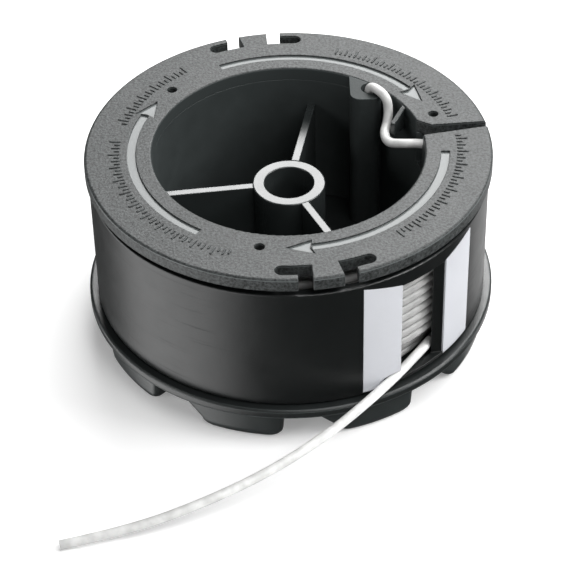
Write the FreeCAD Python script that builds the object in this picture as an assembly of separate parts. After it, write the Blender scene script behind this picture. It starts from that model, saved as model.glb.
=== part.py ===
"""Line spool of a garden string trimmer, with its guard sleeve, its winding and the free line end.

Millimetres. The origin is on the spool's axis at the level the feet stand on, and +Z runs up the axis.
Angles are in degrees, counter-clockwise from +X as seen from above.
"""

import FreeCAD, Part
import math
import os

V = FreeCAD.Vector
UP = V(0, 0, 1)

# Driving dimensions
LINE_D = 2.4
FLANGE_R = 50.0
CUP_R = 34.0
TOP_Z = 52.1
FLANGE_T = 3.6
RIM_ROUND = 0.8
LIP_ROUND = 0.5

DRUM_WALL_T = 1.6
BASE_R = 52.2
BASE_TOP_Z = 11.3
BASE_T = 2.2
BASE_CHAMFER = 0.5

HUB_R = 9.15
HUB_BORE_R = 6.2
HUB_TOP_Z = 41.1
HUB_BOTTOM_Z = 5.0
HUB_ROUND = 0.3
RIB_T = 1.9
RIB_ANGLES = {"left": 186.5, "back": 79.0, "front": 295.0}

HOLE_R = 1.3
HOLE_CIRCLE_R = 39.0
HOLE_ANGLES = (19.1, 139.1, 259.1)

ARROW_TIP_ANGLES = (28.0, 148.0, 268.0)
ARROW_SPAN = 88.0
ARROW_HEAD = 10.0
ARROW_BODY_R = (37.9, 40.1)
ARROW_HEAD_R = (36.4, 41.6)
ARROW_DEPTH = 0.45
ARROW_OVERLAP = 0.5
ARROW_BARB = 1.2

NOTCH_GROUP_ANGLES = (100.0, 280.0)
NOTCH_OFFSET = 6.2
NOTCH_WIDTH = 3.6
POCKET_R = (45.4, 48.8)
POCKET_END = 14.3
POCKET_END_TURN = 1.5

SLIT_INNER_Y = (4.0, 8.1)
SLIT_OUTER_Y = (7.0, 9.2)
SLIT_OUTER_X = 49.2
SLIT_FLARE_X = 2.2
SLIT_FLARE_Y = 2.6

LINE_PORT_Y = (4.6, 9.8)
LINE_PORT_DEPTH = 9.0
LINE_PORT_REACH = 4.0

POST_X = (16.2, 24.2)
POST_Y = 19.6
POST_CORNER = 2.6
POST_HOLE = (21.3, 24.4)
POST_HOLE_R = 2.3
POST_HOLE_DEPTH = 14.0
NIB_WALL_POINT = (30.6, 18.4)
NIB_TIP_POINT = (26.5, 11.3)
NIB_T = 1.1
NIB_TIP_DROP = 1.7
NIB_HEIGHT = 7.0
NIB_UNDERSIDE_RISE = 1.5

FOOT_COUNT = 9
FOOT_PITCH = 360.0 / FOOT_COUNT
FOOT_FIRST = -129.0
FOOT_INNER_R = 37.0
# height above the ground, outer radius, start and end angle from the foot's own origin
FOOT_SECTIONS = (
    (0.0, 48.6, 17.2, 30.8),
    (0.6, 49.5, 14.2, 33.8),
    (2.2, 50.1, 11.4, 35.8),
    (BASE_TOP_Z - BASE_T, 50.1, 2.6, 36.5),
)

GUARD_R = 50.0
GUARD_T = 2.0
GUARD_BOTTOM_Z = 11.6
GUARD_TOP_Z = 46.7
GUARD_ROUND = 0.4
WINDOW_Z = (12.9, 42.6)
WINDOW_START = -58.3
WINDOW_END_OUTER = -41.9
WINDOW_END_INNER = -45.0
PLATE_T = 0.8
PLATE_PROUD = 0.15
PLATE_BOTTOM_Z = 12.5
PLATE_TOP_NEAR_Z = 42.8
PLATE_TOP_FAR_Z = 45.5
PLATE_LEFT_ANGLES = (-70.2, -58.3)
PLATE_RIGHT_ANGLES = (-41.9, -29.6)

WINDING_TOP_Z = 46.9
WINDING_BOTTOM_Z = 11.6
WINDING_STEP_Z = 15.9
LAYER_COUNT = 5
LAYER_PITCH = LINE_D * math.sqrt(3) / 2
TAIL_CLEARANCE = 0.35
GROOVE_POINTS = 4

# Centre-line points of the free line end, from the winding to the tip on the ground
TAIL_ROUTE = (
    (34.25, -30.80, 14.5),
    (28.60, -38.90, 14.3),
    (20.20, -48.80, 13.4),
    (8.50, -59.80, 11.3),
    (-5.60, -69.10, 8.4),
    (-21.60, -76.30, 5.5),
    (-39.20, -82.30, 3.0),
    (-55.60, -84.90, 1.25),
)

# Centre-line points of the held inner end, from the winding into the hole in the post
ANCHOR_ROUTE = (
    (36.20, 7.20, 47.0),
    (28.90, 7.30, 47.0),
    (25.20, 8.20, 46.6),
    (24.40, 12.20, 46.9),
    (25.50, 16.00, 47.2),
    (25.90, 18.30, 49.5),
    (25.30, 18.90, 53.6),
    (22.00, 23.10, 54.3),
    (20.90, 24.20, 51.6),
    (20.90, 24.20, 46.0),
)

# Worked-out sizes
FLANGE_BOTTOM_Z = TOP_Z - FLANGE_T
DRUM_R = CUP_R + DRUM_WALL_T
BASE_BOTTOM_Z = BASE_TOP_Z - BASE_T
LINE_R = LINE_D / 2
WINDING_R = DRUM_R + LINE_D + (LAYER_COUNT - 1) * LAYER_PITCH
WINDING_STEP_R = WINDING_R - LAYER_PITCH
GUARD_INNER_R = GUARD_R - GUARD_T
CUT = 2.0


def polar(radius, angle, z=0.0):
    turn = math.radians(angle)
    return V(radius * math.cos(turn), radius * math.sin(turn), z)


def face_of(edges):
    return Part.Face(Part.Wire(edges))


def polygon(points):
    closed = list(points) + [points[0]]
    return Part.Face(Part.makePolygon(closed))


def raised(face, height):
    return face.extrude(V(0, 0, height))


def arc_edge(radius, start, end, z):
    middle = polar(radius, (start + end) / 2, z)
    return Part.Arc(polar(radius, start, z), middle, polar(radius, end, z)).toShape()


def sector_wire(inner, outer, start, end, z):
    edges = [
        arc_edge(outer, start, end, z),
        Part.makeLine(polar(outer, end, z), polar(inner, end, z)),
        arc_edge(inner, end, start, z),
        Part.makeLine(polar(inner, start, z), polar(outer, start, z)),
    ]
    return Part.Wire(edges)


def sector(inner, outer, start, end, low, high):
    return raised(Part.Face(sector_wire(inner, outer, start, end, low)), high - low)


def ring(inner, outer, low, high):
    height = high - low
    outside = Part.makeCylinder(outer, height, V(0, 0, low))
    return outside.cut(Part.makeCylinder(inner, height, V(0, 0, low)))


def circle_edges(solid, radius, z):
    found = []
    for edge in solid.Edges:
        curve = edge.Curve
        if isinstance(curve, Part.Circle) and abs(curve.Radius - radius) < 1e-6:
            if abs(curve.Center.z - z) < 1e-6:
                found.append(edge)
    return found


def export(name, shape):
    print(name, "solids", len(shape.Solids), "valid", shape.isValid(), "volume", round(shape.Volume, 1))
    shape.exportStep("parts/" + name + ".step")


def rounded_route(points):
    """Straight runs joined by tangent arcs; each radius is 0.45 of the shorter run over tan(half turn)."""
    corners = [V(*point) for point in points]
    edges = []
    radii = []
    start = corners[0]
    for before, corner, after in zip(corners, corners[1:], corners[2:]):
        back = before - corner
        ahead = after - corner
        trim = 0.45 * min(back.Length, ahead.Length)
        back.normalize()
        ahead.normalize()
        turn = math.pi - back.getAngle(ahead)
        radius = trim / math.tan(turn / 2)
        radii.append(radius)
        arc_start = corner + back * trim
        arc_end = corner + ahead * trim
        bisector = back + ahead
        bisector.normalize()
        to_centre = radius / math.cos(turn / 2)
        middle = corner + bisector * (to_centre - radius)
        edges.append(Part.LineSegment(start, arc_start).toShape())
        edges.append(Part.Arc(arc_start, middle, arc_end).toShape())
        start = arc_end
    edges.append(Part.LineSegment(start, corners[-1]).toShape())
    return Part.Wire(edges), radii


def tube(points, radius):
    path, radii = rounded_route(points)
    direction = V(*points[1]) - V(*points[0])
    profile = Part.Wire([Part.Circle(V(*points[0]), direction, radius).toShape()])
    solid = path.makePipeShell([profile], True, False)
    return solid, path, radii


def report_cord(name, solid, path, radii):
    expected = math.pi * LINE_R ** 2 * path.Length
    print(name, "length", round(path.Length, 2), "radii", [round(r, 1) for r in radii])
    print(name, "volume", round(solid.Volume, 1), "section x length", round(expected, 1))


def line_notch(group, side):
    """Slot open at the rim, with a pocket that runs on along the rim, away from the group's middle."""
    centre = group + side * NOTCH_OFFSET
    length = FLANGE_R + CUT - POCKET_R[0]
    slot = Part.makeBox(length, NOTCH_WIDTH, FLANGE_T + 2 * CUT, V(POCKET_R[0], -NOTCH_WIDTH / 2, 0))
    slot.rotate(V(0, 0, 0), UP, centre)
    slot.translate(V(0, 0, FLANGE_BOTTOM_Z - CUT))
    near = centre
    far = group + side * (POCKET_END - POCKET_END_TURN)
    low, high = FLANGE_BOTTOM_Z - CUT, TOP_Z + CUT
    pocket = sector(POCKET_R[0], POCKET_R[1], min(near, far), max(near, far), low, high)
    middle_r = sum(POCKET_R) / 2
    end_r = (POCKET_R[1] - POCKET_R[0]) / 2
    round_end = Part.makeCylinder(end_r, high - low, polar(middle_r, far, low))
    return slot.fuse([pocket, round_end])


def arrow_recess(tip_angle):
    z = TOP_Z - ARROW_DEPTH
    neck = tip_angle + ARROW_HEAD
    tail = tip_angle + ARROW_SPAN
    body = sector(ARROW_BODY_R[0], ARROW_BODY_R[1], neck - ARROW_OVERLAP, tail, z, z + CUT)
    middle_r = sum(ARROW_BODY_R) / 2
    head = polygon([
        polar(middle_r, tip_angle, z),
        polar(ARROW_HEAD_R[1], neck, z),
        polar(middle_r, neck - ARROW_BARB, z),
        polar(ARROW_HEAD_R[0], neck, z),
    ])
    return body.fuse(raised(head, CUT))


def flange_slit():
    low = FLANGE_BOTTOM_Z - CUT
    outer_x = FLANGE_R + CUT
    slope_low = (SLIT_OUTER_Y[0] - SLIT_INNER_Y[0]) / (SLIT_OUTER_X - CUP_R)
    slope_high = (SLIT_OUTER_Y[1] - SLIT_INNER_Y[1]) / (SLIT_OUTER_X - CUP_R)
    inner_x = CUP_R - CUT
    reach_in = inner_x - CUP_R
    reach_out = outer_x - CUP_R
    outline = polygon([
        V(inner_x, SLIT_INNER_Y[0] + slope_low * reach_in, low),
        V(outer_x, SLIT_INNER_Y[0] + slope_low * reach_out, low),
        V(outer_x, SLIT_INNER_Y[1] + slope_high * reach_out, low),
        V(CUP_R + SLIT_FLARE_X, SLIT_INNER_Y[1] + slope_high * SLIT_FLARE_X, low),
        V(inner_x, SLIT_INNER_Y[1] + SLIT_FLARE_Y, low),
    ])
    return raised(outline, FLANGE_T + 2 * CUT)


def top_flange():
    body = ring(CUP_R, FLANGE_R + RIM_ROUND, FLANGE_BOTTOM_Z, TOP_Z)
    rim = circle_edges(body, FLANGE_R + RIM_ROUND, TOP_Z)
    body = body.makeFillet(RIM_ROUND, rim)
    rim = circle_edges(body, FLANGE_R + RIM_ROUND, FLANGE_BOTTOM_Z)
    body = body.makeFillet(LIP_ROUND, rim)
    body = body.makeFillet(LIP_ROUND, circle_edges(body, CUP_R, TOP_Z))
    tools = [flange_slit()]
    for angle in HOLE_ANGLES:
        foot_of_hole = polar(HOLE_CIRCLE_R, angle, FLANGE_BOTTOM_Z - CUT)
        tools.append(Part.makeCylinder(HOLE_R, FLANGE_T + 2 * CUT, foot_of_hole))
    for angle in ARROW_TIP_ANGLES:
        tools.append(arrow_recess(angle))
    for group in NOTCH_GROUP_ANGLES:
        for side in (-1, 1):
            tools.append(line_notch(group, side))
    return body.cut(tools)


def drum_wall():
    wall = ring(CUP_R, DRUM_R, BASE_TOP_Z, FLANGE_BOTTOM_Z)
    width = LINE_PORT_Y[1] - LINE_PORT_Y[0]
    low = FLANGE_BOTTOM_Z - LINE_PORT_DEPTH
    corner = V(CUP_R - LINE_PORT_REACH, LINE_PORT_Y[0], low)
    port = Part.makeBox(2 * LINE_PORT_REACH, width, LINE_PORT_DEPTH + CUT, corner)
    return wall.cut(port)


def hub_tube():
    tube_solid = ring(HUB_BORE_R, HUB_R, HUB_BOTTOM_Z, HUB_TOP_Z)
    tops = circle_edges(tube_solid, HUB_R, HUB_TOP_Z) + circle_edges(tube_solid, HUB_BORE_R, HUB_TOP_Z)
    return tube_solid.makeFillet(HUB_ROUND, tops)


def hub_rib(angle):
    slab = Part.makeBox(CUP_R + CUT, RIB_T, HUB_TOP_Z - BASE_TOP_Z, V(0, -RIB_T / 2, BASE_TOP_Z))
    slab.rotate(V(0, 0, 0), UP, angle)
    slab = slab.cut(Part.makeCylinder(HUB_R, TOP_Z))
    return slab.common(Part.makeCylinder(CUP_R, TOP_Z))


def anchor_post():
    """Boss against the drum wall with a blind hole in its top that holds the line's inner end."""
    low = BASE_TOP_Z
    x0, x1 = POST_X
    corner = POST_CORNER
    slant = corner * (1 - math.sqrt(0.5))
    edges = [
        Part.makeLine(V(x0, CUP_R, low), V(x0, POST_Y + corner, low)),
        Part.Arc(V(x0, POST_Y + corner, low), V(x0 + slant, POST_Y + slant, low),
                 V(x0 + corner, POST_Y, low)).toShape(),
        Part.makeLine(V(x0 + corner, POST_Y, low), V(x1 - corner, POST_Y, low)),
        Part.Arc(V(x1 - corner, POST_Y, low), V(x1 - slant, POST_Y + slant, low),
                 V(x1, POST_Y + corner, low)).toShape(),
        Part.makeLine(V(x1, POST_Y + corner, low), V(x1, CUP_R, low)),
        Part.makeLine(V(x1, CUP_R, low), V(x0, CUP_R, low)),
    ]
    boss = raised(face_of(edges), TOP_Z - low).common(Part.makeCylinder(CUP_R, TOP_Z))
    hole = Part.makeCylinder(POST_HOLE_R, POST_HOLE_DEPTH + CUT, V(*POST_HOLE, TOP_Z - POST_HOLE_DEPTH))
    return boss.cut(hole)


def anchor_nib():
    """Thin blade that reaches from the drum wall to the line and keeps it from slipping back."""
    wall = V(*NIB_WALL_POINT, 0)
    tip = V(*NIB_TIP_POINT, 0)
    length = (tip - wall).Length
    along = math.degrees(math.atan2(tip.y - wall.y, tip.x - wall.x))
    profile = polygon([
        V(0, 0, TOP_Z - NIB_HEIGHT),
        V(length, 0, TOP_Z - NIB_HEIGHT + NIB_UNDERSIDE_RISE),
        V(length, 0, TOP_Z - NIB_TIP_DROP),
        V(0, 0, TOP_Z),
    ])
    blade = profile.extrude(V(0, NIB_T, 0))
    blade.translate(V(0, -NIB_T / 2, 0))
    blade.rotate(V(0, 0, 0), UP, along)
    blade.translate(wall)
    return blade.common(Part.makeCylinder(CUP_R, TOP_Z))


def base_cap():
    disc = Part.makeCylinder(BASE_R, BASE_T, V(0, 0, BASE_BOTTOM_Z))
    disc = disc.makeChamfer(BASE_CHAMFER, circle_edges(disc, BASE_R, BASE_TOP_Z))
    return disc.cut(Part.makeCylinder(HUB_R, TOP_Z))


def foot(index):
    origin = FOOT_FIRST + index * FOOT_PITCH
    wires = []
    for z, outer, start, end in FOOT_SECTIONS:
        wires.append(sector_wire(FOOT_INNER_R, outer, origin + start, origin + end, z))
    return Part.makeLoft(wires, True, True)


def line_winding():
    profile = polygon([
        V(DRUM_R, 0, WINDING_BOTTOM_Z),
        V(WINDING_STEP_R - TAIL_CLEARANCE, 0, WINDING_BOTTOM_Z),
        V(WINDING_STEP_R - TAIL_CLEARANCE, 0, WINDING_STEP_Z),
        V(WINDING_R, 0, WINDING_STEP_Z),
        V(WINDING_R, 0, WINDING_TOP_Z),
        V(DRUM_R, 0, WINDING_TOP_Z),
    ])
    return profile.revolve(V(0, 0, 0), UP, 360)


def window_cutter():
    low, high = WINDOW_Z
    inner_r = GUARD_INNER_R - CUT
    outer_r = GUARD_R + CUT
    wall_lean = (WINDOW_END_OUTER - WINDOW_END_INNER) / GUARD_T * CUT
    outline = [
        arc_edge(inner_r, WINDOW_START, WINDOW_END_INNER - wall_lean, low),
        Part.makeLine(polar(inner_r, WINDOW_END_INNER - wall_lean, low),
                      polar(outer_r, WINDOW_END_OUTER + wall_lean, low)),
        arc_edge(outer_r, WINDOW_END_OUTER + wall_lean, WINDOW_START, low),
        Part.makeLine(polar(outer_r, WINDOW_START, low), polar(inner_r, WINDOW_START, low)),
    ]
    return raised(face_of(outline), high - low)


def wear_plate(angles, top_z):
    """Curved plate let into the sleeve; its top edge runs straight between the heights at its two ends."""
    inner = GUARD_R + PLATE_PROUD - PLATE_T
    plate = sector(inner, GUARD_R + PLATE_PROUD, angles[0], angles[1], PLATE_BOTTOM_Z, max(top_z))
    half = GUARD_R * math.sin(math.radians((angles[1] - angles[0]) / 2))
    rise = (top_z[1] - top_z[0]) / (2 * half)
    reach = half + CUT
    above = polygon([
        V(inner - CUT, -reach, top_z[0] - rise * CUT),
        V(inner - CUT, reach, top_z[1] + rise * CUT),
        V(inner - CUT, reach, TOP_Z),
        V(inner - CUT, -reach, TOP_Z),
    ])
    above = above.extrude(V(PLATE_T + 2 * CUT, 0, 0))
    above.rotate(V(0, 0, 0), UP, sum(angles) / 2)
    return plate.cut(above)


def wear_plate_left():
    return wear_plate(PLATE_LEFT_ANGLES, (PLATE_TOP_FAR_Z, PLATE_TOP_NEAR_Z))


def wear_plate_right():
    return wear_plate(PLATE_RIGHT_ANGLES, (PLATE_TOP_NEAR_Z, PLATE_TOP_FAR_Z))


def guard_sleeve(exit_groove):
    shell = ring(GUARD_INNER_R, GUARD_R, GUARD_BOTTOM_Z, GUARD_TOP_Z)
    shell = shell.makeFillet(GUARD_ROUND, circle_edges(shell, GUARD_R, GUARD_TOP_Z))
    shell = shell.makeFillet(GUARD_ROUND, circle_edges(shell, GUARD_R, GUARD_BOTTOM_Z))
    return shell.cut([window_cutter(), exit_groove, wear_plate_left(), wear_plate_right()])


def main():
    os.makedirs("parts", exist_ok=True)

    export("top_flange", top_flange())
    export("drum_wall", drum_wall())
    export("hub_tube", hub_tube())
    for place, angle in RIB_ANGLES.items():
        export("hub_rib_" + place, hub_rib(angle))
    export("anchor_post", anchor_post())
    export("anchor_nib", anchor_nib())
    export("base_cap", base_cap())
    for index in range(FOOT_COUNT):
        export("foot_" + str(index + 1), foot(index))
    export("line_winding", line_winding())

    inner_end, path, radii = tube(ANCHOR_ROUTE, LINE_R)
    report_cord("line_inner_end", inner_end, path, radii)
    export("line_inner_end", inner_end)

    tail, path, radii = tube(TAIL_ROUTE, LINE_R)
    report_cord("line_tail", tail, path, radii)
    export("line_tail", tail)

    exit_groove = tube(TAIL_ROUTE[:GROOVE_POINTS], LINE_R + TAIL_CLEARANCE)[0]
    export("guard_sleeve", guard_sleeve(exit_groove))
    plate_left = wear_plate_left().cut(exit_groove)
    export("wear_plate_left", max(plate_left.Solids, key=lambda solid: solid.Volume))
    export("wear_plate_right", wear_plate_right())


main()
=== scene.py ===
"""Looks of a string-trimmer line spool, laid out as an add-on and run as a script.

Everything is in metres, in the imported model's own frame: the origin is on the spool's axis at ground level.
"""

import math
import random

import bmesh
import bpy
from bpy.props import FloatProperty, FloatVectorProperty, IntProperty, PointerProperty
from mathutils import Matrix, Vector


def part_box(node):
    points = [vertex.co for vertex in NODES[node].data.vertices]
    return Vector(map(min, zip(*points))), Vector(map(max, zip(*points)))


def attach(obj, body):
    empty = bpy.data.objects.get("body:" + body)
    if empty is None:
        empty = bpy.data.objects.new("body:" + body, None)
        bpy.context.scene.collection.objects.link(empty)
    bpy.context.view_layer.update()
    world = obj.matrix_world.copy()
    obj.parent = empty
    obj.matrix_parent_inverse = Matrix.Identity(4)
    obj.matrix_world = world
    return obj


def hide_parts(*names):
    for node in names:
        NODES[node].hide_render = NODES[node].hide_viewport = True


bl_info = {
    "name": "Trimmer Line Spool",
    "version": (1, 0, 0),
    "blender": (4, 5, 0),
    "location": "View3D > Sidebar > Spool",
    "description": "Builds the finishes, the wound line and the stage of a string-trimmer line spool",
    "category": "Object",
}

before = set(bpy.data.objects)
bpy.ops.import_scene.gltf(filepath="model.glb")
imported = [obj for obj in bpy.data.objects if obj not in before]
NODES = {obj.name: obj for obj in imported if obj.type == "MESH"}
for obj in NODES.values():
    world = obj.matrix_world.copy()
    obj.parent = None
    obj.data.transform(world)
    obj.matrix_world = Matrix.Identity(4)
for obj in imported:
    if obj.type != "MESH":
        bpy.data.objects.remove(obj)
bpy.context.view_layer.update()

MM = 0.001
FLANGE_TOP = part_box("top_flange")[1].z
DRUM_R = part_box("drum_wall")[1].x
CUP_R = 34.0 * MM   # of the wall round the hub, inside the drum
WINDING_LOW, WINDING_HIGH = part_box("line_winding")
FEET = ["foot_%d" % number for number in range(1, 10)]

# The finish of each part that stays as modelled
NODE_FINISHES = {
    "flange_plastic": ["top_flange"],
    "guard_plastic": ["guard_sleeve"],
    "base_plastic": ["base_cap"],
    "drum_plastic": ["drum_wall"],
    "post_plastic": ["anchor_post"],
    "polished_plastic": ["hub_tube", "anchor_nib", "hub_rib_left", "hub_rib_back", "hub_rib_front"],
    "plate_plastic": ["wear_plate_left", "wear_plate_right"],
}

# Centre-line points of the free line end, from the winding to the tip on the ground
TAIL_ROUTE = (
    (0.03425, -0.03080, 0.0145),
    (0.02860, -0.03890, 0.0143),
    (0.02020, -0.04880, 0.0134),
    (0.00850, -0.05980, 0.0113),
    (-0.00560, -0.06910, 0.0084),
    (-0.02160, -0.07630, 0.0055),
    (-0.03920, -0.08230, 0.0030),
    (-0.05560, -0.08490, 0.00125),
)

# Centre-line points of the held inner end, from the winding into the hole in the post
ANCHOR_ROUTE = (
    (0.03620, 0.00720, 0.0470),
    (0.02890, 0.00730, 0.0470),
    (0.02520, 0.00820, 0.0466),
    (0.02440, 0.01220, 0.0469),
    (0.02550, 0.01600, 0.0472),
    (0.02590, 0.01830, 0.0495),
    (0.02530, 0.01890, 0.0534),
    (0.02190, 0.02320, 0.0537),
    (0.02090, 0.02420, 0.0516),
    (0.02090, 0.02420, 0.0460),
)

# A foot at its top and where its bottom edge starts to round: height and outer radius in millimetres,
# start and end angle in degrees
FOOT_TOP = (9.1, 50.1, 2.6, 36.5)
FOOT_WAIST = (2.6, 50.1, 11.0, 35.9)
FOOT_INNER_R = 37.0
FOOT_FIRST_ANGLE = -129.0
FOOT_PITCH = 40.0

# Bands of tick marks round the flange: start angle, end angle in degrees
TICK_BANDS = ((16.0, 73.0), (128.0, 166.0), (175.0, 251.0), (307.0, 366.0))

# Moulded finishes made from the moulded black: shade of its colour, roughness, strength of the grain's
# relief, and what else differs from a plain moulding
# The drum's copy of the moulded black is lightened: painted light on the inner wall of the cup
DRUM_PAINTED_LIGHT = 1.7
MOULDED_FINISHES = {
    "body_plastic": dict(shade=1.0, roughness=0.30, bump=0.12),
    "drum_plastic": dict(shade=DRUM_PAINTED_LIGHT, roughness=0.42, bump=0.12),
    "post_plastic": dict(shade=1.4, roughness=0.56, bump=0.9, edge_wear_and_highlight_gain=5.0, specular=0.22),
    "polished_plastic": dict(shade=1.0, roughness=0.24, bump=0.04, specular=0.58),
    "base_plastic": dict(shade=0.5, roughness=0.32, bump=0.15, edge_radius=0.7 * MM, edge_wear_and_highlight_gain=14.0),
}

# Depth of the moulding grain's relief, and how far the roughness wanders each way
GRAIN_DEPTH = 0.1 * MM
GLOSS_SPREAD = 0.06

# The arrows' floors: depths below the flange's top that they lie between, roughness, and the painted sheen
# that lightens their colour
ARROW_FLOOR_DEPTHS = (0.35 * MM, 0.55 * MM)
ARROW_ROUGHNESS = 0.29
ARROW_PAINTED_SHEEN = 3.4

# Speckle of the flange's top: what its colour is scaled by, over this span of the grain
SPECKLE_SCALES = (0.10, 2.2)
SPECKLE_SPAN = (0.33, 0.67)

# How far the texture of the flange's top reaches over the edge of the cup
TOP_EDGE_DEPTH = 0.15 * MM

# Painted shade that darkens the turns on the drum; dullness of the cut tip and of the whole end, with the
# distances from the tip over which they fade; and the shade of fully dull line
WOUND_PAINTED_SHADE = 0.46
CUT_DULLNESS, CUT_SPAN = 0.55, (1.5 * MM, 6.0 * MM)
END_DULLNESS, END_SPAN = 0.34, (0.0, 55.0 * MM)
DULL_SHADE = 0.35


# ---------------------------------------------------------------- settings


class SpoolLineSettings(bpy.types.PropertyGroup):
    diameter: FloatProperty(
        name="Line diameter", description="Thickness of the trimmer line",
        default=2.4 * MM, unit="LENGTH", precision=5)
    pitch: FloatProperty(
        name="Turn pitch", description="Height from one turn of the winding to the next",
        default=2.56 * MM, unit="LENGTH", precision=5)
    layers: IntProperty(
        name="Layers", description="Layers of line wound on the drum", default=5, min=1, max=6)
    points_per_turn: IntProperty(
        name="Points per turn", description="Control points in one turn", default=16, min=12, max=32)
    colour: FloatVectorProperty(
        name="Line colour", description="Milky nylon", subtype="COLOR", size=3,
        default=(0.80, 0.80, 0.79), min=0, max=1)


class SpoolPlasticSettings(bpy.types.PropertyGroup):
    flange_colour: FloatVectorProperty(
        name="Textured black", description="Spark-eroded top flange", subtype="COLOR", size=3,
        default=(0.029, 0.032, 0.032), min=0, max=1)
    body_colour: FloatVectorProperty(
        name="Moulded black", description="Drum, hub and base", subtype="COLOR", size=3,
        default=(0.024, 0.028, 0.028), min=0, max=1)
    guard_colour: FloatVectorProperty(
        name="Gloss black", description="Guard sleeve", subtype="COLOR", size=3,
        default=(0.005, 0.0062, 0.0062), min=0, max=1)
    plate_colour: FloatVectorProperty(
        name="Pale plate", description="Blank wear plates beside the window", subtype="COLOR", size=3,
        default=(0.50, 0.51, 0.54), min=0, max=1)
    foot_round: FloatProperty(
        name="Foot rounding", description="Radius of the feet's corners in plan",
        default=2.0 * MM, unit="LENGTH", precision=5)
    tick_height: FloatProperty(
        name="Tick height", description="How far the flange's tick marks stand up",
        default=0.22 * MM, unit="LENGTH", precision=5)


class SpoolStageSettings(bpy.types.PropertyGroup):
    camera_distance: FloatProperty(
        name="Camera distance", description="From the flange's centre", default=0.55, unit="LENGTH")
    camera_elevation: FloatProperty(
        name="Camera elevation", description="Above the horizon",
        default=math.radians(40.751), subtype="ANGLE")
    camera_roll: FloatProperty(
        name="Camera roll", description="Lean of the view",
        default=math.radians(1.237), subtype="ANGLE")
    camera_lens: FloatProperty(
        name="Focal length", description="In millimetres on a 36 mm sensor", default=139.85)
    floor_colour: FloatVectorProperty(
        name="Floor colour", description="Pale studio floor", subtype="COLOR", size=3,
        default=(0.88, 0.88, 0.88), min=0, max=1)
    back_power: FloatProperty(name="Back softbox", description="Watts", default=8.0)
    right_power: FloatProperty(name="Right softbox", description="Watts", default=2.6)
    front_power: FloatProperty(name="Front fill", description="Watts", default=0.5)
    top_power: FloatProperty(name="Overhead softbox", description="Watts", default=7.6)
    left_power: FloatProperty(name="Left softbox", description="Watts", default=1.4)


# ---------------------------------------------------------------- small helpers


def polar(radius, angle, z):
    """A point at this radius and angle in degrees round the spool's axis."""
    turn = math.radians(angle)
    return Vector((radius * math.cos(turn), radius * math.sin(turn), z))


def new_object(name, data):
    made = bpy.data.objects.new(name, data)
    bpy.context.scene.collection.objects.link(made)
    return made


def mesh_piece(name, shape, material):
    """A smooth-shaded mesh object from a bmesh."""
    mesh = bpy.data.meshes.new(name)
    bmesh.ops.recalc_face_normals(shape, faces=shape.faces)
    shape.to_mesh(mesh)
    shape.free()
    mesh.polygons.foreach_set("use_smooth", [True] * len(mesh.polygons))
    mesh.set_sharp_from_angle(angle=math.radians(40))
    mesh.materials.append(material)
    return new_object(name, mesh)


def cord_piece(name, points, diameter, material, resolution):
    """A round cord on a smooth open spline with these control points."""
    curve = bpy.data.curves.new(name, "CURVE")
    curve.dimensions = "3D"
    curve.bevel_depth = diameter / 2
    curve.bevel_resolution = 5
    curve.use_fill_caps = True
    curve.resolution_u = resolution
    spline = curve.splines.new("NURBS")
    spline.points.add(len(points) - 1)
    for point, place in zip(spline.points, points):
        point.co = (*place, 1.0)
    spline.order_u = 3
    spline.use_endpoint_u = True
    curve.materials.append(material)
    return new_object(name, curve)


def finish_node(name, material):
    """Gives a node carried over from the model its material."""
    mesh = NODES[name].data
    mesh.materials.clear()
    mesh.materials.append(material)


# ---------------------------------------------------------------- shader groups


def new_group(name, inputs, outputs):
    group = bpy.data.node_groups.new(name, "ShaderNodeTree")
    for label, kind, value in inputs:
        group.interface.new_socket(label, in_out="INPUT", socket_type=kind).default_value = value
    for label, kind in outputs:
        group.interface.new_socket(label, in_out="OUTPUT", socket_type=kind)
    start = group.nodes.new("NodeGroupInput")
    end = group.nodes.new("NodeGroupOutput")
    return group, start, end


def node(tree, kind, **settings):
    made = tree.nodes.new(kind)
    for key, value in settings.items():
        setattr(made, key, value)
    return made


def set_inputs(made, values):
    """Sets a node's inputs by name, with underscores for the spaces."""
    for key, value in values.items():
        made.inputs[key.replace("_", " ")].default_value = value


def math_node(tree, operation, first, second):
    made = node(tree, "ShaderNodeMath", operation=operation)
    for socket, value in zip(made.inputs, (first, second)):
        if isinstance(value, (int, float)):
            socket.default_value = value
        else:
            tree.links.new(value, socket)
    return made.outputs[0]


def object_noise(tree, scale, detail, roughness):
    place = node(tree, "ShaderNodeTexCoord")
    noise = node(tree, "ShaderNodeTexNoise")
    noise.inputs["Detail"].default_value = detail
    noise.inputs["Roughness"].default_value = roughness
    tree.links.new(place.outputs["Object"], noise.inputs["Vector"])
    tree.links.new(scale, noise.inputs["Scale"])
    return noise.outputs["Fac"]


def build_soft_edge_group():
    """Rounds the shading of edges, and gives a mask that is 1 on them."""
    group, start, end = new_group(
        "soft_edge",
        [("Radius", "NodeSocketFloat", 0.3 * MM)],
        [("Normal", "NodeSocketVector"), ("Edge", "NodeSocketFloat")])
    bevel = node(group, "ShaderNodeBevel", samples=6)
    group.links.new(start.outputs["Radius"], bevel.inputs["Radius"])
    flat = node(group, "ShaderNodeNewGeometry")
    match = node(group, "ShaderNodeVectorMath", operation="DOT_PRODUCT")
    group.links.new(bevel.outputs["Normal"], match.inputs[0])
    group.links.new(flat.outputs["Normal"], match.inputs[1])
    ramp = node(group, "ShaderNodeMapRange", interpolation_type="SMOOTHSTEP")
    ramp.inputs["From Min"].default_value = 0.995
    ramp.inputs["From Max"].default_value = 0.80
    group.links.new(match.outputs["Value"], ramp.inputs["Value"])
    group.links.new(bevel.outputs["Normal"], end.inputs["Normal"])
    group.links.new(ramp.outputs["Result"], end.inputs["Edge"])


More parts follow.
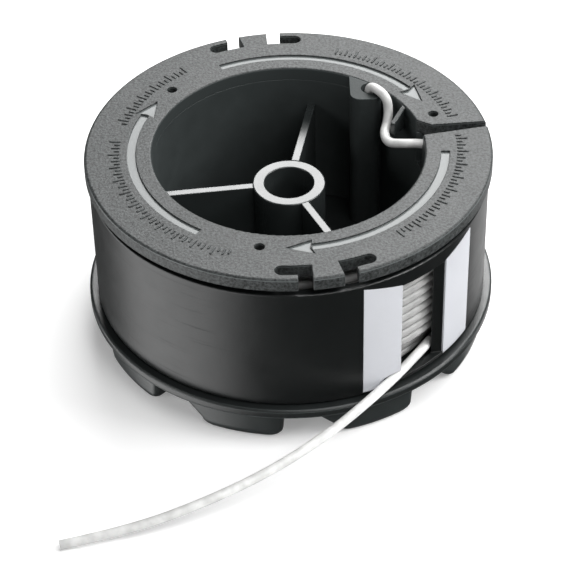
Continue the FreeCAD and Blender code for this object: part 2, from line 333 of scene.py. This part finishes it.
def build_grain_group():
    """Moulding grain: a height for a bump, and a slow mottle for colour and gloss."""
    group, start, end = new_group(
        "moulding_grain",
        [("Grain Scale", "NodeSocketFloat", 1500.0), ("Mottle Scale", "NodeSocketFloat", 180.0)],
        [("Height", "NodeSocketFloat"), ("Mottle", "NodeSocketFloat")])
    fine = object_noise(group, start.outputs["Grain Scale"], detail=3.0, roughness=0.7)
    slow = object_noise(group, start.outputs["Mottle Scale"], detail=3.0, roughness=0.55)
    group.links.new(fine, end.inputs["Height"])
    group.links.new(slow, end.inputs["Mottle"])


def build_rub_group():
    """Rub marks round the axis: a mask of thin horizontal scratches."""
    group, start, end = new_group(
        "rub_marks", [("Amount", "NodeSocketFloat", 0.4)], [("Mask", "NodeSocketFloat")])
    place = node(group, "ShaderNodeTexCoord")
    stretch = node(group, "ShaderNodeVectorMath", operation="MULTIPLY")
    stretch.inputs[1].default_value = (60.0, 60.0, 2400.0)
    group.links.new(place.outputs["Object"], stretch.inputs[0])
    noise = node(group, "ShaderNodeTexNoise")
    noise.inputs["Scale"].default_value = 1.0
    noise.inputs["Detail"].default_value = 2.0
    group.links.new(stretch.outputs["Vector"], noise.inputs["Vector"])
    scratch = ranged(group, noise.outputs["Fac"], 0.0, 1.0, 0.60, 0.78)
    amount = math_node(group, "MULTIPLY", scratch, start.outputs["Amount"])
    group.links.new(amount, end.inputs["Mask"])


def placed_group(tree, name, **values):
    made = node(tree, "ShaderNodeGroup", node_tree=bpy.data.node_groups[name])
    set_inputs(made, values)
    return made


# ---------------------------------------------------------------- materials


def new_material(name, **settings):
    """A material with these inputs on its shader; returns its node tree and the shader."""
    if name in bpy.data.materials:
        raise ValueError("there is already a material called " + name)
    material = bpy.data.materials.new(name)
    material.use_nodes = True
    shader = material.node_tree.nodes["Principled BSDF"]
    set_inputs(shader, settings)
    return material.node_tree, shader


def mixed(tree, factor, first, second):
    """First, or the colour second where factor is 1; first is a socket or a colour."""
    mix = node(tree, "ShaderNodeMix", data_type="RGBA")
    tree.links.new(factor, mix.inputs["Factor"])
    if isinstance(first, tuple):
        mix.inputs["A"].default_value = (*first, 1.0)
    else:
        tree.links.new(first, mix.inputs["A"])
    mix.inputs["B"].default_value = (*second, 1.0)
    return mix.outputs["Result"]


def mottled(tree, factor, colour, low, high):
    """A colour that wanders between two shades of itself."""
    return mixed(tree, factor, scaled_colour(colour, low), scaled_colour(colour, high))


def scaled_output(tree, colour, factor):
    """A colour socket times a factor socket."""
    made = node(tree, "ShaderNodeVectorMath", operation="SCALE")
    tree.links.new(colour, made.inputs[0])
    tree.links.new(factor, made.inputs["Scale"])
    return made.outputs["Vector"]


def source(socket):
    """The socket that this input is linked from."""
    return socket.links[0].from_socket


def ranged(tree, value, low, high, from_low=0.0, from_high=1.0):
    """Low to high, as the value goes over its span, and held at both ends."""
    ramp = node(tree, "ShaderNodeMapRange")
    ramp.inputs["From Min"].default_value = from_low
    ramp.inputs["From Max"].default_value = from_high
    ramp.inputs["To Min"].default_value = low
    ramp.inputs["To Max"].default_value = high
    tree.links.new(value, ramp.inputs["Value"])
    return ramp.outputs["Result"]


def axis_distance(tree, place):
    """Distance from the spool's axis."""
    flat = node(tree, "ShaderNodeVectorMath", operation="MULTIPLY")
    tree.links.new(place, flat.inputs[0])
    flat.inputs[1].default_value = (1.0, 1.0, 0.0)
    spread = node(tree, "ShaderNodeVectorMath", operation="LENGTH")
    tree.links.new(flat.outputs["Vector"], spread.inputs[0])
    return spread.outputs["Value"]


def scaled_colour(colour, factor):
    return tuple(min(1.0, channel * factor) for channel in colour)


def moulded_plastic(name, colour, roughness, bump, shade=1.0, grain_scale=1500.0,
                    edge_radius=0.3 * MM, edge_wear_and_highlight_gain=3.0, specular=0.5):
    """Injection-moulded plastic with grain, uneven gloss and softened edges, lightened as wear and as a
    painted highlight.
    """
    colour = scaled_colour(colour, shade)
    tree, shader = new_material(name, Specular_IOR_Level=specular)
    grain = placed_group(tree, "moulding_grain", Grain_Scale=grain_scale)
    edge = placed_group(tree, "soft_edge", Radius=edge_radius)
    uneven = mottled(tree, grain.outputs["Mottle"], colour, 0.8, 1.2)
    # Edges are lightened: wear along them and a painted highlight
    wear = math_node(tree, "MULTIPLY", edge.outputs["Edge"], 0.5)
    tree.links.new(mixed(tree, wear, uneven, scaled_colour(colour, edge_wear_and_highlight_gain)), shader.inputs["Base Color"])
    gloss = ranged(tree, grain.outputs["Mottle"], roughness - GLOSS_SPREAD, roughness + GLOSS_SPREAD)
    tree.links.new(gloss, shader.inputs["Roughness"])
    relief = node(tree, "ShaderNodeBump")
    relief.inputs["Strength"].default_value = bump
    relief.inputs["Distance"].default_value = GRAIN_DEPTH
    tree.links.new(grain.outputs["Height"], relief.inputs["Height"])
    tree.links.new(edge.outputs["Normal"], relief.inputs["Normal"])
    tree.links.new(relief.outputs["Normal"], shader.inputs["Normal"])
    return tree, shader


def build_flange_material(settings):
    """Spark-eroded top; the arrows' floors are polished and lightened with painted sheen, and the cup's edge
    takes the drum's painted light.
    """
    colour = tuple(settings.flange_colour)
    tree, shader = moulded_plastic(
        "flange_plastic", colour, roughness=0.46, bump=1.0, specular=0.33)
    place = node(tree, "ShaderNodeTexCoord")
    axes = node(tree, "ShaderNodeSeparateXYZ")
    tree.links.new(place.outputs["Object"], axes.inputs["Vector"])
    height_above = axes.outputs["Z"]
    below_top = math_node(tree, "LESS_THAN", height_above, FLANGE_TOP - ARROW_FLOOR_DEPTHS[0])
    near_top = math_node(tree, "GREATER_THAN", height_above, FLANGE_TOP - ARROW_FLOOR_DEPTHS[1])
    arrow_floor = math_node(tree, "MULTIPLY", below_top, near_top)
    from_axis = axis_distance(tree, place.outputs["Object"])
    inside = math_node(tree, "LESS_THAN", from_axis, CUP_R + TOP_EDGE_DEPTH)
    below_edge = math_node(tree, "LESS_THAN", height_above, FLANGE_TOP - TOP_EDGE_DEPTH)
    cup_edge = math_node(tree, "MULTIPLY", inside, below_edge)

    gloss = node(tree, "ShaderNodeMix", data_type="FLOAT")
    tree.links.new(arrow_floor, gloss.inputs["Factor"])
    tree.links.new(source(shader.inputs["Roughness"]), gloss.inputs["A"])
    gloss.inputs["B"].default_value = ARROW_ROUGHNESS
    tree.links.new(gloss.outputs["Result"], shader.inputs["Roughness"])

    relief = shader.inputs["Normal"].links[0].from_node
    grain = source(relief.inputs["Height"])
    speckle = ranged(tree, grain, *SPECKLE_SCALES, *SPECKLE_SPAN)
    speckled = scaled_output(tree, source(shader.inputs["Base Color"]), speckle)
    # The arrows' floors are lightened: painted sheen of the light they mirror
    arrows = mixed(tree, arrow_floor, speckled, scaled_colour(colour, ARROW_PAINTED_SHEEN))
    # The cup's inner wall takes the drum's lightened black: painted light
    edged = mixed(tree, cup_edge, arrows, scaled_colour(tuple(settings.body_colour), DRUM_PAINTED_LIGHT))
    tree.links.new(edged, shader.inputs["Base Color"])

    smooth = math_node(tree, "MAXIMUM", arrow_floor, cup_edge)
    rough = math_node(tree, "SUBTRACT", 1.0, smooth)
    tree.links.new(math_node(tree, "MULTIPLY", grain, rough), relief.inputs["Height"])


def build_guard_material(settings):
    """Smooth black sleeve with thin rub marks round it."""
    tree, shader = moulded_plastic(
        "guard_plastic", tuple(settings.guard_colour), roughness=0.34, bump=0.12, grain_scale=900.0,
        specular=0.45)
    rub = placed_group(tree, "rub_marks", Amount=0.16)
    rubbed = math_node(tree, "ADD", source(shader.inputs["Roughness"]), rub.outputs["Mask"])
    tree.links.new(rubbed, shader.inputs["Roughness"])


def build_plate_material(settings):
    """Smooth pale plate with a faint uneven sheen and a few scuffs."""
    colour = tuple(settings.plate_colour)
    tree, shader = new_material("plate_plastic", Specular_IOR_Level=0.5)
    grain = placed_group(tree, "moulding_grain", Grain_Scale=700.0, Mottle_Scale=90.0)
    rub = placed_group(tree, "rub_marks", Amount=0.5)
    tint = mottled(tree, grain.outputs["Mottle"], colour, 0.95, 1.04)
    scuff = math_node(tree, "MULTIPLY", rub.outputs["Mask"], 0.35)
    tree.links.new(mixed(tree, scuff, tint, scaled_colour(colour, 0.86)), shader.inputs["Base Color"])
    tree.links.new(ranged(tree, grain.outputs["Mottle"], 0.30, 0.44), shader.inputs["Roughness"])
    edge = placed_group(tree, "soft_edge", Radius=0.2 * MM)
    tree.links.new(edge.outputs["Normal"], shader.inputs["Normal"])


def build_line_material(name, colour, wound_painted_shade):
    """Milky extruded nylon; the cut tip on the ground is duller; painted shade darkens the turns and the held
    end.
    """
    tree, shader = new_material(
        name, Subsurface_Weight=0.08, Subsurface_Scale=1.0 * MM, Specular_IOR_Level=0.5)
    shader.inputs["Subsurface Radius"].default_value = (1.0, 1.0, 1.0)
    grain = placed_group(tree, "moulding_grain", Grain_Scale=1400.0, Mottle_Scale=260.0)
    place = node(tree, "ShaderNodeTexCoord").outputs["Object"]
    milky = mottled(tree, ranged(tree, grain.outputs["Mottle"], 0.0, 1.0, 0.35, 0.65), colour, 0.82, 1.10)
    # The held end and the turns on the drum are darkened: painted shade
    held_painted_shade = (1.0 + wound_painted_shade) / 2
    shade = ranged(tree, axis_distance(tree, place), held_painted_shade, wound_painted_shade, DRUM_R - 2.0 * MM, DRUM_R)
    shaded = scaled_output(tree, milky, shade)

    gap = node(tree, "ShaderNodeVectorMath", operation="DISTANCE")
    tree.links.new(place, gap.inputs[0])
    gap.inputs[1].default_value = TAIL_ROUTE[-1]
    cut = ranged(tree, gap.outputs["Value"], CUT_DULLNESS, 0.0, *CUT_SPAN)
    worn_end = ranged(tree, gap.outputs["Value"], END_DULLNESS, 0.0, *END_SPAN)
    dullness = math_node(tree, "MAXIMUM", cut, worn_end)
    dulled = mixed(tree, dullness, shaded, scaled_colour(colour, DULL_SHADE))
    tree.links.new(dulled, shader.inputs["Base Color"])

    tree.links.new(ranged(tree, grain.outputs["Mottle"], 0.28, 0.5), shader.inputs["Roughness"])
    relief = node(tree, "ShaderNodeBump")
    relief.inputs["Strength"].default_value = 0.35
    relief.inputs["Distance"].default_value = 0.2 * MM
    tree.links.new(grain.outputs["Mottle"], relief.inputs["Height"])
    tree.links.new(relief.outputs["Normal"], shader.inputs["Normal"])


# ---------------------------------------------------------------- operators


class SPOOL_OT_finishes(bpy.types.Operator):
    """Builds the shader groups and the finishes of the spool's materials"""

    bl_idname = "spool.finishes"
    bl_label = "Build Finishes"

    def execute(self, context):
        plastic = context.scene.spool_plastic
        build_soft_edge_group()
        build_grain_group()
        build_rub_group()
        build_flange_material(plastic)
        build_guard_material(plastic)
        build_plate_material(plastic)
        line_colour = tuple(context.scene.spool_line.colour)
        build_line_material("milky_nylon", line_colour, 1.0)
        build_line_material("wound_nylon", line_colour, WOUND_PAINTED_SHADE)
        for name, finish in MOULDED_FINISHES.items():
            moulded_plastic(name, tuple(plastic.body_colour), **finish)
        return {"FINISHED"}


class SPOOL_OT_camera(bpy.types.Operator):
    """Places the camera in front of the spool, above it"""

    bl_idname = "spool.camera"
    bl_label = "Place Camera"

    # how far the flange's centre stands right of and above the view's centre
    side_shift = 0.80 * MM
    rise_shift = 34.17 * MM
    sensor_width = 36.0
    clip_start = 0.01

    def execute(self, context):
        settings = context.scene.spool_stage
        tilt, roll = settings.camera_elevation, settings.camera_roll
        level = Vector((1.0, 0.0, 0.0))
        upright = Vector((0.0, math.sin(tilt), math.cos(tilt)))
        right = level * math.cos(roll) - upright * math.sin(roll)
        up = level * math.sin(roll) + upright * math.cos(roll)
        back = Vector((0.0, -math.cos(tilt), math.sin(tilt)))
        camera = new_object("camera", bpy.data.cameras.new("camera"))
        camera.data.lens = settings.camera_lens
        camera.data.sensor_width = self.sensor_width
        camera.data.clip_start = self.clip_start
        turn = Matrix((right, up, back)).transposed().to_4x4()
        place = Vector((0, 0, FLANGE_TOP)) + back * settings.camera_distance
        place -= right * self.side_shift + up * self.rise_shift
        camera.matrix_world = Matrix.Translation(place) @ turn
        context.scene.camera = camera
        return {"FINISHED"}


# Steps drawn from one control point to the next: on the line's free end, and on the winding
ROUTE_RESOLUTION = 24
WINDING_RESOLUTION = 6

# Rise from one layer to the next, in diameters, when the turns lie in the grooves below them
NESTED_RISE = math.sqrt(3) / 2


class SPOOL_OT_free_line(bpy.types.Operator):
    """Lays the free end of the line, out of the guard's window and down to the ground"""

    bl_idname = "spool.free_line"
    bl_label = "Lay Free Line"

    def execute(self, context):
        line = context.scene.spool_line
        material = bpy.data.materials["milky_nylon"]
        tail = cord_piece("line_free_end", TAIL_ROUTE, line.diameter, material, ROUTE_RESOLUTION)
        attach(tail, "guard")
        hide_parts("line_tail")
        return {"FINISHED"}


class SPOOL_OT_winding(bpy.types.Operator):
    """Leads the line from the post's hole through the wall, then winds it layer on layer on the drum"""

    bl_idname = "spool.winding"
    bl_label = "Wind Line"

    # where the first turn starts, beside the wall's hole, and where the free end leaves, in degrees
    start_angle = -1.0
    leave_angle = -42.0
    run_out_angle = 35.0
    run_out_steps = 6
    # height of the last full turn, clear above the free end as it goes round with the guard
    last_turn_z = 17.4 * MM
    # how unevenly the turns lie, in height and in radius
    height_scatter = 0.05 * MM
    radius_scatter = 0.04 * MM
    # how far the ends of the layers and of the last layer stay inside the winding's box, in diameters
    top_inset, bottom_inset, last_inset = 0.55, 0.6, 0.4

    def add_layer(self, points, angle, radius, start_z, end_z, turns, line):
        """One layer of turns, clockwise from this angle; returns the angle where it ends."""
        chance = random.Random(len(points))
        steps = round(turns * line.points_per_turn)
        turn_step = 360.0 * turns / steps
        widen = 1 / math.cos(math.radians(turn_step / 2))
        for step in range(steps):
            z = start_z + (end_z - start_z) * step / steps
            z += chance.uniform(-self.height_scatter, self.height_scatter)
            spread = radius + chance.uniform(-self.radius_scatter, self.radius_scatter)
            points.append(polar(spread * widen, angle, z))
            angle -= turn_step
        return angle

    def route(self, line):
        """Layers wound down and up by turns, then a short run-out to where the free end starts."""
        radius = DRUM_R + line.diameter / 2
        top = WINDING_HIGH.z - line.diameter * self.top_inset
        bottom = WINDING_LOW.z + line.diameter * self.bottom_inset
        full_turns = (top - bottom) / line.pitch
        points = [Vector(place) for place in reversed(ANCHOR_ROUTE)]
        angle = self.start_angle
        for layer in range(line.layers - 1):
            ends = (top, bottom) if layer % 2 == 0 else (bottom, top)
            angle = self.add_layer(points, angle, radius, *ends, full_turns, line)
            radius += line.diameter * NESTED_RISE
        run_out_start = self.leave_angle + self.run_out_angle
        room = (top - line.diameter * self.last_inset - self.last_turn_z) / line.pitch
        past = ((angle - run_out_start) % 360.0) / 360.0
        turns = past + math.floor(room - past)
        start_z = self.last_turn_z + turns * line.pitch
        angle = self.add_layer(points, angle, radius, start_z, self.last_turn_z, turns, line)
        leave = Vector(TAIL_ROUTE[0])
        leave_r = math.hypot(leave.x, leave.y)
        for step in range(self.run_out_steps + 1):
            share = step / self.run_out_steps
            eased = share * share * (3 - 2 * share)
            z = self.last_turn_z + (leave.z - self.last_turn_z) * eased
            spread = radius + (leave_r - radius) * share
            points.append(polar(spread, angle - self.run_out_angle * share, z))
        return points

    def execute(self, context):
        line = context.scene.spool_line
        points = self.route(line)
        material = bpy.data.materials["wound_nylon"]
        winding = cord_piece("line_turns", points, line.diameter, material, WINDING_RESOLUTION)
        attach(winding, "spool")
        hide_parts("line_inner_end", "line_winding")
        return {"FINISHED"}


class SPOOL_OT_feet(bpy.types.Operator):
    """Models the scalloped feet with rounded edges"""

    bl_idname = "spool.feet"
    bl_label = "Build Feet"

    arc_steps = 12
    corner_steps = 5
    round_steps = 6
    # how far the bottom draws in: across the rim in millimetres, and at its ends in degrees
    draw_across = 1.8
    draw_start, draw_end = 6.0, 5.0

    def outline(self, origin, section, rounding):
        """Plan of a foot: an arc with rounded corners, closed by two points on the inner radius."""
        z, outer, start, end = section
        corner = rounding / MM
        reach = math.degrees(corner / outer)
        side = []
        for step in range(self.corner_steps + 1):
            turn = math.radians(90 * step / self.corner_steps)
            side.append((outer - corner * (1 - math.sin(turn)), reach * (1 - math.cos(turn))))
        places = [(radius, start + inset) for radius, inset in side]
        span = end - start - 2 * reach
        for step in range(1, self.arc_steps):
            places.append((outer, start + reach + span * step / self.arc_steps))
        places += [(radius, end - inset) for radius, inset in reversed(side)]
        places += [(FOOT_INNER_R, end), (FOOT_INNER_R, start)]
        return [polar(radius * MM, origin + angle, z * MM) for radius, angle in places]

    def sections(self):
        """Rounds the bottom edge in a quarter ellipse, wider along the rim than across it."""
        height, outer, start, end = FOOT_WAIST
        rounded = []
        for step in range(self.round_steps):
            turn = math.radians(90 * step / self.round_steps)
            drawn_in = 1 - math.sin(turn)
            rounded.append((height * (1 - math.cos(turn)), outer - self.draw_across * drawn_in,
                            start + self.draw_start * drawn_in, end - self.draw_end * drawn_in))
        return rounded + [FOOT_WAIST, FOOT_TOP]

    def build(self, name, origin, rounding, material):
        """One foot: loops of its sections joined by faces, with a cap at each end."""
        shape = bmesh.new()
        loops = []
        for section in self.sections():
            loops.append([shape.verts.new(place) for place in self.outline(origin, section, rounding)])
        for low, high in zip(loops, loops[1:]):
            for index in range(len(low)):
                following = (index + 1) % len(low)
                shape.faces.new((low[index], low[following], high[following], high[index]))
        shape.faces.new(loops[0])
        shape.faces.new(loops[-1])
        return mesh_piece(name, shape, material)

    def execute(self, context):
        settings = context.scene.spool_plastic
        material = bpy.data.materials["body_plastic"]
        for index, node_name in enumerate(FEET):
            origin = FOOT_FIRST_ANGLE + index * FOOT_PITCH
            piece = self.build("rounded_" + node_name, origin, settings.foot_round, material)
            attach(piece, "spool")
            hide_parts(node_name)
        return {"FINISHED"}


class SPOOL_OT_flange_ticks(bpy.types.Operator):
    """Raises plain tick marks in bands round the flange"""

    bl_idname = "spool.flange_ticks"
    bl_label = "Build Tick Marks"

    pitch_angle = 1.75
    inner_r = 41.9 * MM
    lengths = (2.9 * MM, 1.5 * MM, 2.2 * MM, 1.5 * MM)
    width = 0.5 * MM
    sunk = 0.02 * MM
    edge_round = 0.09 * MM

    def add_tick(self, shape, angle, length, height):
        """A bar along the radius, sunk a little into the flange, with rounded edges."""
        turn = Matrix.Rotation(math.radians(angle), 4, "Z")
        place = Matrix.Translation((self.inner_r + length / 2, 0, FLANGE_TOP - self.sunk + height / 2))
        size = Matrix.Diagonal((length, self.width, height + self.sunk, 1.0))
        made = bmesh.ops.create_cube(shape, size=1.0, matrix=turn @ place @ size)
        edges = {edge for vert in made["verts"] for edge in vert.link_edges}
        bmesh.ops.bevel(shape, geom=list(edges), offset=self.edge_round, segments=2, affect="EDGES")

    def execute(self, context):
        settings = context.scene.spool_plastic
        shape = bmesh.new()
        for start, end in TICK_BANDS:
            count = int((end - start) / self.pitch_angle)
            for index in range(count + 1):
                length = self.lengths[index % len(self.lengths)]
                self.add_tick(shape, start + index * self.pitch_angle, length, settings.tick_height)
        piece = mesh_piece("flange_ticks", shape, bpy.data.materials["flange_plastic"])
        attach(piece, "spool")
        return {"FINISHED"}


class SPOOL_OT_mouldings(bpy.types.Operator):
    """Gives the moulded parts and the plates their finishes"""

    bl_idname = "spool.mouldings"
    bl_label = "Finish Mouldings"

    def execute(self, context):
        for finish, names in NODE_FINISHES.items():
            for name in names:
                finish_node(name, bpy.data.materials[finish])
        return {"FINISHED"}


class SPOOL_OT_stage(bpy.types.Operator):
    """Lays the pale floor and sets up the soft studio light"""

    bl_idname = "spool.stage"
    bl_label = "Build Stage"

    floor_half = 1.3
    floor_level = -0.1 * MM
    floor_glow = 0.22
    backdrop_glow = 0.95
    ambient = 0.06
    # glowing panels below the horizon: direction, cosines where the glow starts and is full, strength
    panels = (
        ((-0.94, -0.34, 0.0), (0.50, 0.73), 2.9),
        ((0.50, 0.866, 0.0), (0.66, 0.72), 0.9),
    )
    # softboxes: name, place, aim, width and height, and the setting with the watts
    middle = (0.0, 0.0, 0.03)
    front = (0.0, -0.05, 0.0)
    softboxes = (
        ("back_softbox", (0.16, 0.53, 0.52), middle, (0.62, 0.36), "back_power"),
        ("overhead_softbox", (0.38, -0.28, 0.90), front, (0.9, 0.7), "top_power"),
        ("right_softbox", (0.56, -0.08, 0.40), middle, (0.30, 0.25), "right_power"),
        ("front_fill", (0.50, -0.62, 0.40), middle, (0.6, 0.4), "front_power"),
        ("left_softbox", (-0.55, -0.30, 0.20), middle, (0.35, 0.4), "left_power"),
    )

    def soft_light(self, name, place, target, size, power):
        """A rectangular area light that faces its target."""
        light = bpy.data.lights.new(name, "AREA")
        light.shape = "RECTANGLE"
        light.size, light.size_y = size
        light.energy = power
        made = new_object(name, light)
        made.location = place
        made.rotation_euler = (Vector(target) - Vector(place)).to_track_quat("-Z", "Y").to_euler()

    def build_floor(self, colour):
        """A pale, slightly glowing floor that the mouldings don't mirror."""
        shape = bmesh.new()
        level = Matrix.Translation((0.0, 0.0, self.floor_level))
        bmesh.ops.create_grid(shape, x_segments=2, y_segments=2, size=self.floor_half, matrix=level)
        new_material(
            "studio_floor", Roughness=0.9, Specular_IOR_Level=0.1, Base_Color=(*colour, 1.0),
            Emission_Color=(1.0, 1.0, 1.0, 1.0), Emission_Strength=self.floor_glow)
        floor = mesh_piece("studio_floor", shape, bpy.data.materials["studio_floor"])
        floor.visible_glossy = False

    def build_world(self, world):
        """Dim surroundings with bright panels below the horizon; the camera sees a pale backdrop."""
        world.use_nodes = True
        tree = world.node_tree
        sky = tree.nodes["Background"]
        place = node(tree, "ShaderNodeTexCoord")
        glow = 0.0
        for direction, edges, strength in self.panels:
            match = node(tree, "ShaderNodeVectorMath", operation="DOT_PRODUCT")
            tree.links.new(place.outputs["Generated"], match.inputs[0])
            match.inputs[1].default_value = direction
            ramp = node(tree, "ShaderNodeMapRange", interpolation_type="SMOOTHSTEP")
            ramp.inputs["From Min"].default_value = edges[0]
            ramp.inputs["From Max"].default_value = edges[1]
            ramp.inputs["To Max"].default_value = strength
            tree.links.new(match.outputs["Value"], ramp.inputs["Value"])
            glow = math_node(tree, "ADD", glow, ramp.outputs["Result"])
        axes = node(tree, "ShaderNodeSeparateXYZ")
        tree.links.new(place.outputs["Generated"], axes.inputs["Vector"])
        below = math_node(tree, "LESS_THAN", axes.outputs["Z"], 0.0)
        total = math_node(tree, "ADD", math_node(tree, "MULTIPLY", glow, below), self.ambient)
        path = node(tree, "ShaderNodeLightPath")
        seen = node(tree, "ShaderNodeMix", data_type="FLOAT")
        tree.links.new(path.outputs["Is Camera Ray"], seen.inputs["Factor"])
        tree.links.new(total, seen.inputs["A"])
        seen.inputs["B"].default_value = self.backdrop_glow
        tree.links.new(seen.outputs["Result"], sky.inputs["Strength"])
        sky.inputs["Color"].default_value = (1.0, 1.0, 1.0, 1.0)
        world.cycles.sampling_method = "NONE"

    def execute(self, context):
        scene = context.scene
        settings = scene.spool_stage
        scene.view_settings.view_transform = "Standard"
        self.build_floor(tuple(settings.floor_colour))
        if scene.world is None:
            scene.world = bpy.data.worlds.new("studio")
        self.build_world(scene.world)
        for name, place, aim, size, power in self.softboxes:
            self.soft_light(name, place, aim, size, getattr(settings, power))
        return {"FINISHED"}


class SPOOL_PT_panel(bpy.types.Panel):
    """Lists the spool's settings and build steps"""

    bl_idname = "SPOOL_PT_panel"
    bl_label = "Line Spool"
    bl_space_type = "VIEW_3D"
    bl_region_type = "UI"
    bl_category = "Spool"

    def draw(self, context):
        for group in (context.scene.spool_line, context.scene.spool_plastic, context.scene.spool_stage):
            box = self.layout.box()
            for name in group.__annotations__:
                box.prop(group, name)
        for operator in OPERATORS:
            self.layout.operator(operator.bl_idname)


# ---------------------------------------------------------------- registration


GROUPS = {
    "spool_line": SpoolLineSettings,
    "spool_plastic": SpoolPlasticSettings,
    "spool_stage": SpoolStageSettings,
}
OPERATORS = (
    SPOOL_OT_camera,
    SPOOL_OT_finishes,
    SPOOL_OT_free_line,
    SPOOL_OT_winding,
    SPOOL_OT_feet,
    SPOOL_OT_flange_ticks,
    SPOOL_OT_mouldings,
    SPOOL_OT_stage,
)


def register():
    for name, group in GROUPS.items():
        bpy.utils.register_class(group)
        setattr(bpy.types.Scene, name, PointerProperty(type=group))
    for operator in OPERATORS:
        bpy.utils.register_class(operator)
    bpy.utils.register_class(SPOOL_PT_panel)


def unregister():
    bpy.utils.unregister_class(SPOOL_PT_panel)
    for operator in reversed(OPERATORS):
        bpy.utils.unregister_class(operator)
    for name, group in GROUPS.items():
        delattr(bpy.types.Scene, name)
        bpy.utils.unregister_class(group)


def main():
    register()
    bpy.ops.spool.camera()
    bpy.ops.spool.finishes()
    bpy.ops.spool.free_line()
    bpy.ops.spool.winding()
    bpy.ops.spool.feet()
    bpy.ops.spool.flange_ticks()
    bpy.ops.spool.mouldings()
    bpy.ops.spool.stage()


if __name__ == "__main__":
    main()
